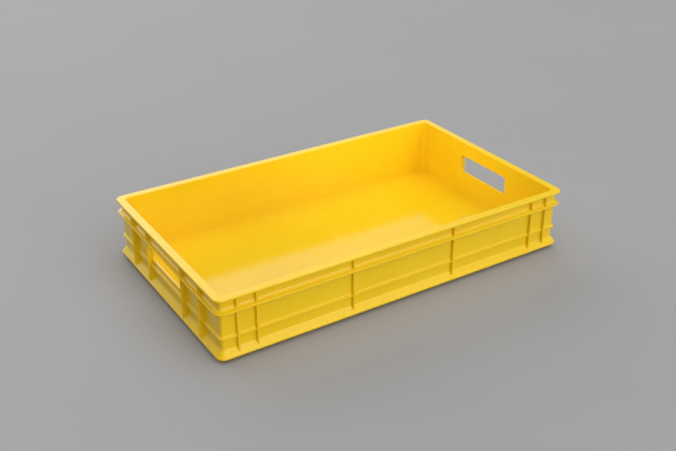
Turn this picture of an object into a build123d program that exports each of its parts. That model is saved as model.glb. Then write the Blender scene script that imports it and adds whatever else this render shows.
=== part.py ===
from build123d import *
import os

# A shallow stacking crate for milk bottles, injection moulded in one shot of yellow polyethylene.
# The moulding is modelled region by region. Neighbouring regions meet face to face, so together
# they are the whole crate with no overlap and no seam.
#
# +X runs along the long side, +Y across, +Z up. The origin is under the middle of the crate, on
# the surface that it stands on. Left is -X, right is +X, front is -Y and back is +Y.
# An inset is a distance inwards from the outermost outline of the crate.

# Overall size
length = 600
width = 354
height = 100
outline_radius = 12

# Walls and floor of the tub
wall_thickness = 4.4
wall_inset = 7.8
wall_radius = outline_radius - wall_inset
tub_radius = 7
cove_radius = 0.5
floor_thickness = 2.5

# Flat rim round the top
rim_width = wall_inset + wall_thickness
rim_thickness = 3.8
rim_round = 1.2

# Two horizontal ribs round the outside. A root is the radius where a rib's top meets the wall.
rib_thickness = 3.2
upper_rib_inset = 0.2
upper_rib_bottom = 76
lower_rib_inset = 4.6
lower_rib_radius = outline_radius - lower_rib_inset
lower_rib_bottom = 35
rib_round = 0.8
upper_rib_root = 6
lower_rib_root = 2.2

# Flange round the foot of the walls. Its top slopes, and runs into the wall with a root radius.
flange_bottom = 7
flange_edge = 2.6
flange_rise = 9.2
flange_round = 0.6
flange_root = 6

# Upright fins on the outside of the walls
fin_thickness = 2.6
long_side_fin_inset = 3
end_fin_inset = 1
fin_round = 0.6
long_side_fins = [-269, -240, -88, 88, 240, 269]
end_fins = [-115, -59.3, 59.3, 115]

# Hand hole through each end wall
hole_width = 114
hole_height = 30
hole_top = 76
hole_radius = 3.5
hole_border = 4.5
hole_round = 0.8

# Underside: a stacking foot that drops inside the rim of the crate below, and shallow ribs
foot_height = 2.5
foot_inset = 13.6
foot_width = 3
foot_radius = 6
foot_round = 0.6
base_rib_width = 2.5
base_rib_height = 2
base_rib_rows = 5
base_rib_row_pitch = 51
base_rib_columns = 7
base_rib_column_pitch = 80

# Length of wall that a root radius is formed against, and that is then cut away again
wall_stub = 8

# Worked out from the sizes above
floor_bottom = foot_height
floor_top = floor_bottom + floor_thickness
rim_bottom = height - rim_thickness
hole_bottom = hole_top - hole_height
border_bottom = hole_bottom - hole_border
border_top = hole_top + hole_border
border_half_width = hole_width / 2 + hole_border

# The four corner regions are square in plan and just take in every rounded corner.
corner_size = 20
straight_x = length - 2 * corner_size
straight_y = width - 2 * corner_size

os.makedirs("parts", exist_ok=True)


def save(piece, name):
    """Label a finished region and write it to its own STEP file."""
    piece.part.label = name
    export_step(piece.part, f"parts/{name}.step")


def outline(inset, radius, mode=Mode.ADD):
    """The crate's rounded outline, drawn in by an inset."""
    RectangleRounded(length - 2 * inset, width - 2 * inset, radius, mode=mode)


def band(bottom, top, outer_inset, outer_radius, inner_inset, inner_radius):
    """A closed band round the crate between two outlines."""
    with BuildPart() as ring:
        with BuildSketch(Plane.XY.offset(bottom)):
            outline(outer_inset, outer_radius)
            outline(inner_inset, inner_radius, mode=Mode.SUBTRACT)
        extrude(amount=top - bottom)
    return ring.part


def clip(x_range, y_range, z_range):
    """Keep only what lies in a box, given by its limits along each axis."""
    limits = (x_range, y_range, z_range)
    centre = tuple((low + high) / 2 for low, high in limits)
    size = [high - low for low, high in limits]
    with Locations(centre):
        Box(*size, mode=Mode.INTERSECT)


def side_limits(side):
    """Plan limits of the straight region on one side of the crate."""
    along_x = (-straight_x / 2, straight_x / 2)
    along_y = (-straight_y / 2, straight_y / 2)
    return {
        "front": (along_x, (-width / 2, -straight_y / 2)),
        "back": (along_x, (straight_y / 2, width / 2)),
        "left": ((-length / 2, -straight_x / 2), along_y),
        "right": ((straight_x / 2, length / 2), along_y),
    }[side]


# Whole bands, cut later into sides and corners. Their edges are rounded here, once, so the
# rounding runs on unbroken from region to region.

# The tub: outer wall faces, floor, and a pocket with a coved bottom edge.
with BuildPart() as pocket:
    with BuildSketch(Plane.XY.offset(floor_top)):
        outline(rim_width, tub_radius)
    extrude(amount=rim_bottom - floor_top)
    fillet(pocket.faces().sort_by(Axis.Z)[0].edges(), cove_radius)

with BuildPart() as tub:
    with BuildSketch(Plane.XY.offset(floor_bottom)):
        outline(wall_inset, wall_radius)
    extrude(amount=rim_bottom - floor_bottom)
    add(pocket.part, mode=Mode.SUBTRACT)

with BuildPart() as rim:
    add(band(rim_bottom, height, 0, outline_radius, rim_width, tub_radius))
    fillet(rim.faces().sort_by(Axis.Z)[-1].edges(), rim_round)
    fillet(rim.faces().sort_by(Axis.Z)[0].outer_wire().edges(), rim_round)


def rib_band(bottom, inset, radius, root_radius):
    """A rib round the walls, with rounded outer edges and a radius where its top meets the wall."""
    shelf_level = bottom + rib_thickness
    with BuildPart() as rib:
        with BuildSketch(Plane.XY.offset(bottom)):
            outline(inset, radius)
        extrude(amount=rib_thickness)
        with BuildSketch(Plane.XY.offset(shelf_level)):
            outline(wall_inset, wall_radius)
        extrude(amount=wall_stub)
        shelf = rib.faces().filter_by(Axis.Z).sort_by(Axis.Z)[1]
        fillet(shelf.inner_wires()[0].edges(), root_radius)
        shelf = rib.faces().filter_by(Axis.Z).sort_by(Axis.Z)[1]
        underside = rib.faces().sort_by(Axis.Z)[0]
        fillet(shelf.outer_wire().edges() + underside.outer_wire().edges(), rib_round)
        with BuildSketch(Plane.XY.offset(bottom)):
            outline(wall_inset, wall_radius)
        extrude(amount=rib_thickness + wall_stub, mode=Mode.SUBTRACT)
    return rib


upper_rib = rib_band(upper_rib_bottom, upper_rib_inset, outline_radius, upper_rib_root)
lower_rib = rib_band(lower_rib_bottom, lower_rib_inset, lower_rib_radius, lower_rib_root)

# The flange, chamfered all round from its edge up to the wall.
flange_top = flange_bottom + flange_edge + flange_rise
with BuildPart() as flange:
    with BuildSketch(Plane.XY.offset(flange_bottom)):
        outline(0, outline_radius)
    extrude(amount=flange_top - flange_bottom)
    top_face = flange.faces().sort_by(Axis.Z)[-1]
    chamfer(top_face.edges(), wall_inset, flange_rise, reference=top_face)
    with BuildSketch(Plane.XY.offset(flange_top)):
        outline(wall_inset, wall_radius)
    extrude(amount=wall_stub)
    slope_top = flange.edges().filter_by_position(Axis.Z, flange_top - 0.01, flange_top + 0.01)
    fillet(slope_top, flange_root)
    fillet(flange.faces().sort_by(Axis.Z)[0].edges(), flange_round)
    with BuildSketch(Plane.XY.offset(flange_bottom)):
        outline(wall_inset, wall_radius)
    extrude(amount=flange_top - flange_bottom + wall_stub, mode=Mode.SUBTRACT)

with BuildPart() as foot:
    add(band(0, foot_height, foot_inset, foot_radius, foot_inset + foot_width, foot_width))
    fillet(foot.faces().sort_by(Axis.Z)[0].edges(), foot_round)

bands = {
    "rim": rim,
    "upper_rib": upper_rib,
    "lower_rib": lower_rib,
    "base_flange": flange,
    "stacking_foot": foot,
}


# Floor, flat between the strips that belong to the walls.
with BuildPart() as floor_panel:
    with BuildSketch(Plane.XY.offset(floor_bottom)):
        Rectangle(straight_x, straight_y)
    extrude(amount=floor_thickness)
save(floor_panel, "floor_panel")


# Straight run of each band on each side: rim rails, ribs, flanges and stacking feet.
for side in ("front", "back", "left", "right"):
    for band_name, whole_band in bands.items():
        with BuildPart() as run:
            add(whole_band.part)
            clip(*side_limits(side), (0, height))
        save(run, f"{band_name}_{side}")


# Corner posts: the tub's rounded corner with every band wrapping round it.
for end, sign_x in (("left", -1), ("right", 1)):
    for side, sign_y in (("front", -1), ("back", 1)):
        corner_x = sorted((sign_x * straight_x / 2, sign_x * length / 2))
        corner_y = sorted((sign_y * straight_y / 2, sign_y * width / 2))
        with BuildPart() as corner_post:
            add(tub.part)
            for whole_band in bands.values():
                add(whole_band.part)
            clip(corner_x, corner_y, (0, height))
        save(corner_post, f"corner_post_{side}_{end}")


# Long walls, each with its cove and a strip of floor.
for side in ("front", "back"):
    with BuildPart() as long_wall:
        add(tub.part)
        clip(*side_limits(side), (floor_bottom, rim_bottom))
    save(long_wall, f"long_wall_{side}")


# End walls, built up round the hand hole.
for end, sign_x in (("left", -1), ("right", 1)):
    end_x = side_limits(end)[0]

    for side, sign_y in (("front", -1), ("back", 1)):
        panel_y = sorted((sign_y * border_half_width, sign_y * straight_y / 2))
        with BuildPart() as end_panel:
            add(tub.part)
            clip(end_x, panel_y, (floor_bottom, rim_bottom))
        save(end_panel, f"end_panel_{side}_{end}")

    middle_y = (-border_half_width, border_half_width)
    with BuildPart() as sill:
        add(tub.part)
        clip(end_x, middle_y, (floor_bottom, border_bottom))
    save(sill, f"end_sill_{end}")

    with BuildPart() as grip:
        add(tub.part)
        clip(end_x, middle_y, (border_top, rim_bottom))
    save(grip, f"hand_grip_{end}")

    wall_face = Plane.YZ.offset(sign_x * (length / 2 - wall_inset - wall_thickness / 2))
    with BuildPart() as hole_border_ring:
        with BuildSketch(wall_face):
            with Locations((0, (border_bottom + border_top) / 2)):
                Rectangle(2 * border_half_width, border_top - border_bottom)
            with Locations((0, hole_top - hole_height / 2)):
                RectangleRounded(hole_width, hole_height, hole_radius, mode=Mode.SUBTRACT)
        extrude(amount=wall_thickness / 2, both=True)
        for face in hole_border_ring.faces().filter_by(Axis.X):
            fillet(face.inner_wires()[0].edges(), hole_round)
    save(hole_border_ring, f"hand_hole_border_{end}")


# Upright fins run from the flange's slope to the rim. Each is one plate, cut where the ribs and
# the flange pass through it.
fin_bottom = flange_bottom + flange_edge


def fin_plate(fin_x, fin_y, size_x, size_y, outward):
    """One fin, with its outer upright edges rounded. Outward is the way it faces."""
    with BuildPart() as plate:
        with BuildSketch(Plane.XY.offset(fin_bottom)):
            with Locations((fin_x, fin_y)):
                Rectangle(size_x, size_y)
        extrude(amount=rim_bottom - fin_bottom)
        outer_face = plate.faces().sort_by(outward)[-1]
        fillet(outer_face.edges().filter_by(Axis.Z), fin_round)
        for passing in (upper_rib, lower_rib, flange):
            add(passing.part, mode=Mode.SUBTRACT)
    return plate


# Fins on the long sides, numbered from left to right.
fin_depth = wall_inset - long_side_fin_inset
for side, sign_y in (("front", -1), ("back", 1)):
    fin_y = sign_y * (width / 2 - long_side_fin_inset - fin_depth / 2)
    outward = Axis((0, 0, 0), (0, sign_y, 0))
    for number, fin_x in enumerate(long_side_fins, start=1):
        fin = fin_plate(fin_x, fin_y, fin_thickness, fin_depth, outward)
        save(fin, f"fin_{side}_{number}")


# Fins on the ends, numbered from front to back. The middle two flank the hand hole.
fin_depth = wall_inset - end_fin_inset
for end, sign_x in (("left", -1), ("right", 1)):
    fin_x = sign_x * (length / 2 - end_fin_inset - fin_depth / 2)
    outward = Axis((0, 0, 0), (sign_x, 0, 0))
    for number, fin_y in enumerate(end_fins, start=1):
        fin = fin_plate(fin_x, fin_y, fin_depth, fin_thickness, outward)
        save(fin, f"fin_{end}_{number}")


# Shallow stiffening ribs under the floor, inside the stacking foot.
base_inset = foot_inset + foot_width
with BuildPart() as base_ribs_lengthwise:
    with BuildSketch(Plane.XY.offset(floor_bottom - base_rib_height)):
        with GridLocations(0, base_rib_row_pitch, 1, base_rib_rows):
            Rectangle(length - 2 * base_inset, base_rib_width)
    extrude(amount=base_rib_height)
save(base_ribs_lengthwise, "base_ribs_lengthwise")

with BuildPart() as base_ribs_crosswise:
    with BuildSketch(Plane.XY.offset(floor_bottom - base_rib_height)):
        with GridLocations(base_rib_column_pitch, 0, base_rib_columns, 1):
            Rectangle(base_rib_width, width - 2 * base_inset)
    extrude(amount=base_rib_height)
    add(base_ribs_lengthwise.part, mode=Mode.SUBTRACT)
save(base_ribs_crosswise, "base_ribs_crosswise")
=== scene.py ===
import math

import bpy
from mathutils import Matrix, Vector


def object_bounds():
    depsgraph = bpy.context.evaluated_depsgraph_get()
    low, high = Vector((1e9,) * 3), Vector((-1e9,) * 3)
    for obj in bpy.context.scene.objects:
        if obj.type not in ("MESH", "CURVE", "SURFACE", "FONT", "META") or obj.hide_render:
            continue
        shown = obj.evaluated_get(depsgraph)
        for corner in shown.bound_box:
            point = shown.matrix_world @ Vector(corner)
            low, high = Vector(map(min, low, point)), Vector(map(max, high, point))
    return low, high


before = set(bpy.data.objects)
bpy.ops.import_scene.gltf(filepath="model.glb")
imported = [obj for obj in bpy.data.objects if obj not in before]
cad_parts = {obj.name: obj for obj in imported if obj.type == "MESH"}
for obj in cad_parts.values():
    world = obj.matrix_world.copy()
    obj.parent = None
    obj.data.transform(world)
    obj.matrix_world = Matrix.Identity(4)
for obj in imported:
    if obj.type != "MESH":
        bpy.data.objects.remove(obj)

# A shallow stacking crate of yellow moulded plastic, on a pale studio floor.
#
# Lengths are in metres and angles in degrees. The frame is the CAD's: +X along the crate, +Y across
# it from front to back, +Z up, and the origin under its middle. Azimuths turn from +X towards +Y.

cad_low, cad_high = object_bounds()

# ---------------------------------------------------------------- node helpers


def new_tree(owner):
    """Empties the node tree of a material or world and returns it."""
    owner.use_nodes = True
    owner.node_tree.nodes.clear()
    return owner.node_tree


def add(tree, kind, **settings):
    """Adds a node and sets its properties."""
    node = tree.nodes.new(kind)
    for key, value in settings.items():
        setattr(node, key, value)
    return node


def feed(tree, socket, value):
    """Links value into socket, or sets it if it is a constant."""
    if isinstance(value, bpy.types.NodeSocket):
        tree.links.new(value, socket)
    else:
        socket.default_value = value


def maths(tree, operation, a, b=None, c=None):
    """The result of a maths operation on sockets or numbers."""
    node = add(tree, "ShaderNodeMath", operation=operation)
    for index, value in enumerate((a, b, c)):
        if value is not None:
            feed(tree, node.inputs[index], value)
    return node.outputs[0]


def ramp(tree, value, start, end, low=0.0, high=1.0):
    """A smooth step of value from start to end, giving low to high."""
    node = add(tree, "ShaderNodeMapRange", interpolation_type="SMOOTHSTEP")
    feed(tree, node.inputs["Value"], value)
    feed(tree, node.inputs["From Min"], start)
    feed(tree, node.inputs["From Max"], end)
    feed(tree, node.inputs["To Min"], low)
    feed(tree, node.inputs["To Max"], high)
    return node.outputs["Result"]


def noise(tree, where, scale, detail, roughness=0.5, distortion=0.0):
    """Noise from 0 to 1, with scale in features per metre."""
    node = add(tree, "ShaderNodeTexNoise")
    feed(tree, node.inputs["Vector"], where)
    feed(tree, node.inputs["Scale"], scale)
    feed(tree, node.inputs["Detail"], detail)
    feed(tree, node.inputs["Roughness"], roughness)
    feed(tree, node.inputs["Distortion"], distortion)
    return node.outputs["Fac"]


def blend_colour(tree, factor, a, b):
    """Colour a where factor is 0, and colour b where it is 1."""
    node = add(tree, "ShaderNodeMix", data_type="RGBA")
    feed(tree, node.inputs[0], factor)
    feed(tree, node.inputs[6], a)
    feed(tree, node.inputs[7], b)
    return node.outputs[2]


def bump(tree, height, depth, normal=None):
    """A bump whose height of 0 to 1 is depth metres."""
    node = add(tree, "ShaderNodeBump")
    feed(tree, node.inputs["Strength"], 1.0)
    feed(tree, node.inputs["Distance"], depth)
    feed(tree, node.inputs["Height"], height)
    if normal is not None:
        feed(tree, node.inputs["Normal"], normal)
    return node.outputs["Normal"]


def new_surface(name):
    """A material with a shader wired to its output, its tree, and a place on the object."""
    material = bpy.data.materials.new(name)
    tree = new_tree(material)
    place = add(tree, "ShaderNodeTexCoord").outputs["Object"]
    shader = add(tree, "ShaderNodeBsdfPrincipled")
    out = add(tree, "ShaderNodeOutputMaterial")
    tree.links.new(shader.outputs["BSDF"], out.inputs["Surface"])
    return material, tree, place, shader


# ---------------------------------------------------------------- moulded plastic

YELLOW = (0.935, 0.63, 0.013, 1.0)
DEEP_YELLOW = (0.915, 0.60, 0.009, 1.0)
WORN_YELLOW = (0.95, 0.71, 0.12, 1.0)

# Features per metre, from the broad marks of the plastic's flow down to the mould's grain
FLOW_SCALE = 5.0
WAVE_SCALE = 14.0
PATCH_SCALE = 22.0
MOTTLE_SCALE = 70.0
SPECKLE_SCALE = 180.0
SCRATCH_SCALE = 210.0
GRAIN_SCALE = 1500.0

# The part of the colour's variation that follows the flow. The rest is mottle.
FLOW_SHARE = 0.65

# Roughness of clean plastic, and what the flow and wear add to it
GLOSSIEST = 0.11
DULLEST = 0.17
FLOW_DULLING = 0.02
WEAR_DULLING = 0.22

# Where the crate is worn: its outermost surfaces, which rub against others, and under the foot
RUB_DEPTH = 0.0012
FOOT_WEAR_HEIGHT = 0.0015
WEAR_FADING = 0.45
SCRATCH_STRETCH = (1.0, 1.0, 3.0)

WAVE_DEPTH = 0.00014
GRAIN_DEPTH = 0.000004
WEAR_RELIEF = 0.00003

REFRACTIVE_INDEX = 1.5
SPECULAR_LEVEL = 0.36


def rubbed_places(tree, place):
    """1 on the outermost faces and under the foot, 0 elsewhere."""
    split = add(tree, "ShaderNodeSeparateXYZ")
    feed(tree, split.inputs[0], place)
    to_end = maths(tree, "SUBTRACT", cad_high.x, maths(tree, "ABSOLUTE", split.outputs["X"]))
    to_side = maths(tree, "SUBTRACT", cad_high.y, maths(tree, "ABSOLUTE", split.outputs["Y"]))
    to_outline = maths(tree, "MINIMUM", to_end, to_side)
    outermost = ramp(tree, to_outline, RUB_DEPTH, RUB_DEPTH / 3.0)
    under_foot = ramp(tree, split.outputs["Z"], cad_low.z + FOOT_WEAR_HEIGHT, cad_low.z)
    return maths(tree, "MAXIMUM", outermost, under_foot)


def moulded_plastic(name):
    """Semi-gloss polyethylene: flow marks, a fine mould grain, and scuffs where crates rub."""
    material, tree, place, shader = new_surface(name)

    flow = noise(tree, place, FLOW_SCALE, detail=2.0, distortion=0.6)
    mottle = noise(tree, place, MOTTLE_SCALE, detail=3.0, roughness=0.6)
    flow_tone = maths(tree, "MULTIPLY", flow, FLOW_SHARE)
    tone = maths(tree, "MULTIPLY_ADD", mottle, 1.0 - FLOW_SHARE, flow_tone)
    clean = blend_colour(tree, ramp(tree, tone, 0.38, 0.62), DEEP_YELLOW, YELLOW)

    stretched = add(tree, "ShaderNodeMapping")
    feed(tree, stretched.inputs["Vector"], place)
    feed(tree, stretched.inputs["Scale"], SCRATCH_STRETCH)
    scratches = noise(tree, stretched.outputs["Vector"], SCRATCH_SCALE, detail=4.0, roughness=0.7)
    patches = noise(tree, place, PATCH_SCALE, detail=2.0)
    scratched = ramp(tree, scratches, 0.50, 0.66)
    patchy = ramp(tree, patches, 0.42, 0.62)
    scuffed = maths(tree, "MULTIPLY", scratched, patchy)
    worn = maths(tree, "MULTIPLY", scuffed, rubbed_places(tree, place))
    faded = maths(tree, "MULTIPLY", worn, WEAR_FADING)
    feed(tree, shader.inputs["Base Color"], blend_colour(tree, faded, clean, WORN_YELLOW))

    speckle = noise(tree, place, SPECKLE_SCALE, detail=3.0, roughness=0.65)
    speckled = ramp(tree, speckle, 0.35, 0.75, GLOSSIEST, DULLEST)
    gloss = maths(tree, "ADD", speckled, ramp(tree, flow, 0.3, 0.7, 0.0, FLOW_DULLING))
    feed(tree, shader.inputs["Roughness"], maths(tree, "MULTIPLY_ADD", worn, WEAR_DULLING, gloss))
    shader.inputs["IOR"].default_value = REFRACTIVE_INDEX
    shader.inputs["Specular IOR Level"].default_value = SPECULAR_LEVEL

    wave = noise(tree, place, WAVE_SCALE, detail=1.0, roughness=0.4)
    grain = noise(tree, place, GRAIN_SCALE, detail=2.0)
    normal = bump(tree, wave, WAVE_DEPTH)
    normal = bump(tree, grain, GRAIN_DEPTH, normal)
    normal = bump(tree, worn, WEAR_RELIEF, normal)
    feed(tree, shader.inputs["Normal"], normal)
    return material


plastic = moulded_plastic("yellow_moulded_plastic")
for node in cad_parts.values():
    node.data.materials.clear()
    node.data.materials.append(plastic)

# ---------------------------------------------------------------- floor

FLOOR_HALF = 60.0
FLOOR_GAP = 0.0002
FLOOR_GREY = (0.34, 0.34, 0.345, 1.0)
FLOOR_PALE_GREY = (0.36, 0.36, 0.365, 1.0)
FLOOR_ROUGHNESS = 0.75


def studio_paper(name):
    """Matt pale grey paper, a little uneven in tone."""
    material, tree, place, shader = new_surface(name)
    uneven = noise(tree, place, 3.0, detail=3.0)
    feed(tree, shader.inputs["Base Color"], blend_colour(tree, uneven, FLOOR_GREY, FLOOR_PALE_GREY))
    shader.inputs["Roughness"].default_value = FLOOR_ROUGHNESS
    return material


floor_mesh = bpy.data.meshes.new("studio_floor")
floor_level = cad_low.z - FLOOR_GAP
corner_signs = ((-1, -1), (1, -1), (1, 1), (-1, 1))
corners = [(sign_x * FLOOR_HALF, sign_y * FLOOR_HALF, floor_level) for sign_x, sign_y in corner_signs]
floor_mesh.from_pydata(corners, [], [(0, 1, 2, 3)])
floor = bpy.data.objects.new("studio_floor", floor_mesh)
bpy.context.scene.collection.objects.link(floor)
floor_mesh.materials.append(studio_paper("studio_paper"))

# ---------------------------------------------------------------- light all round

AMBIENT = 0.25
WHITE = (1.0, 1.0, 1.0, 1.0)


def glow(tree, direction, centre, fade, strength):
    """Radiance that fades away from a centre, which is given by its azimuth and elevation.

    The fade starts at the first angle from the centre and is complete at the second.
    """
    azimuth, elevation = map(math.radians, centre)
    inner, outer = map(math.radians, fade)
    level = math.cos(elevation)
    towards = (math.cos(azimuth) * level, math.sin(azimuth) * level, math.sin(elevation))
    dot = add(tree, "ShaderNodeVectorMath", operation="DOT_PRODUCT")
    feed(tree, dot.inputs[0], direction)
    feed(tree, dot.inputs[1], towards)
    return ramp(tree, dot.outputs["Value"], math.cos(outer), math.cos(inner), 0.0, strength)


def window(tree, azimuth, elevation, right, left, top, strength):
    """Radiance of a soft panel behind the crate.

    Each edge fades over a range: right and left in azimuth, top in elevation.
    """
    rise = ramp(tree, azimuth, *map(math.radians, right), 0.0, strength)
    fall = ramp(tree, azimuth, *map(math.radians, left), 1.0, 0.0)
    below_top = ramp(tree, elevation, *map(math.radians, top), 1.0, 0.0)
    return maths(tree, "MULTIPLY", maths(tree, "MULTIPLY", rise, fall), below_top)


def light_world():
    """An even ambient light, two soft panels behind the crate, and two glows before it."""
    world = bpy.data.worlds.new("studio")
    bpy.context.scene.world = world
    tree = new_tree(world)
    direction = add(tree, "ShaderNodeTexCoord").outputs["Generated"]
    split = add(tree, "ShaderNodeSeparateXYZ")
    feed(tree, split.inputs[0], direction)
    azimuth = maths(tree, "ARCTAN2", split.outputs["Y"], split.outputs["X"])
    elevation = maths(tree, "ARCSINE", split.outputs["Z"])
    lamps = (
        window(tree, azimuth, elevation, (46.0, 53.0), (110.0, 140.0), (30.0, 44.0), 0.8),
        window(tree, azimuth, elevation, (50.0, 78.0), (100.0, 140.0), (30.0, 46.0), 1.6),
        glow(tree, direction, (-66.0, 74.0), (5.0, 62.0), 1.16),
        glow(tree, direction, (-80.0, 15.0), (5.0, 38.0), 2.1),
    )
    total = AMBIENT
    for lamp in lamps:
        total = maths(tree, "ADD", lamp, total)
    background = add(tree, "ShaderNodeBackground")
    feed(tree, background.inputs["Color"], WHITE)
    feed(tree, background.inputs["Strength"], total)
    out = add(tree, "ShaderNodeOutputWorld")
    tree.links.new(background.outputs[0], out.inputs["Surface"])


light_world()

# ---------------------------------------------------------------- fill light

# A small soft panel over the crate's left end lights the insides of the walls that face it. It
# lights nothing but the crate.
FILL_PLACE = Vector((-0.30, -0.12, 0.24))
FILL_TARGET = Vector((0.29, 0.09, 0.08))
FILL_SIZE = 0.16
FILL_SPREAD = 54.0
FILL_WATTS = 0.125

fill = bpy.data.objects.new("fill", bpy.data.lights.new("fill", "AREA"))
bpy.context.scene.collection.objects.link(fill)
fill.data.shape = "SQUARE"
fill.data.size = FILL_SIZE
fill.data.spread = math.radians(FILL_SPREAD)
fill.data.energy = FILL_WATTS
lit_pieces = bpy.data.collections.new("lit_pieces")
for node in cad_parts.values():
    lit_pieces.objects.link(node)
fill.light_linking.receiver_collection = lit_pieces
fill.visible_camera = False
fill.visible_glossy = False
fill_aim = (FILL_TARGET - FILL_PLACE).to_track_quat("-Z", "Y").to_matrix().to_4x4()
fill.matrix_world = Matrix.Translation(FILL_PLACE) @ fill_aim

# ---------------------------------------------------------------- camera

CAMERA_PLACE = Vector((-0.7126, -1.1116, 0.7552))
HEADING = 57.495
PITCH = 28.293
LENS = 50.67
SENSOR_WIDTH = 36.0
NEAREST_SEEN = 0.01
FARTHEST_SEEN = 100.0

camera = bpy.data.objects.new("camera", bpy.data.cameras.new("camera"))
bpy.context.scene.collection.objects.link(camera)
camera.data.lens = LENS
camera.data.sensor_width = SENSOR_WIDTH
camera.data.sensor_fit = "HORIZONTAL"
camera.data.clip_start = NEAREST_SEEN
camera.data.clip_end = FARTHEST_SEEN
turn = Matrix.Rotation(math.radians(HEADING - 90.0), 4, "Z")
tilt = Matrix.Rotation(math.radians(90.0 - PITCH), 4, "X")
camera.matrix_world = Matrix.Translation(CAMERA_PLACE) @ turn @ tilt
bpy.context.scene.camera = camera
bpy.context.scene.view_settings.view_transform = "Standard"
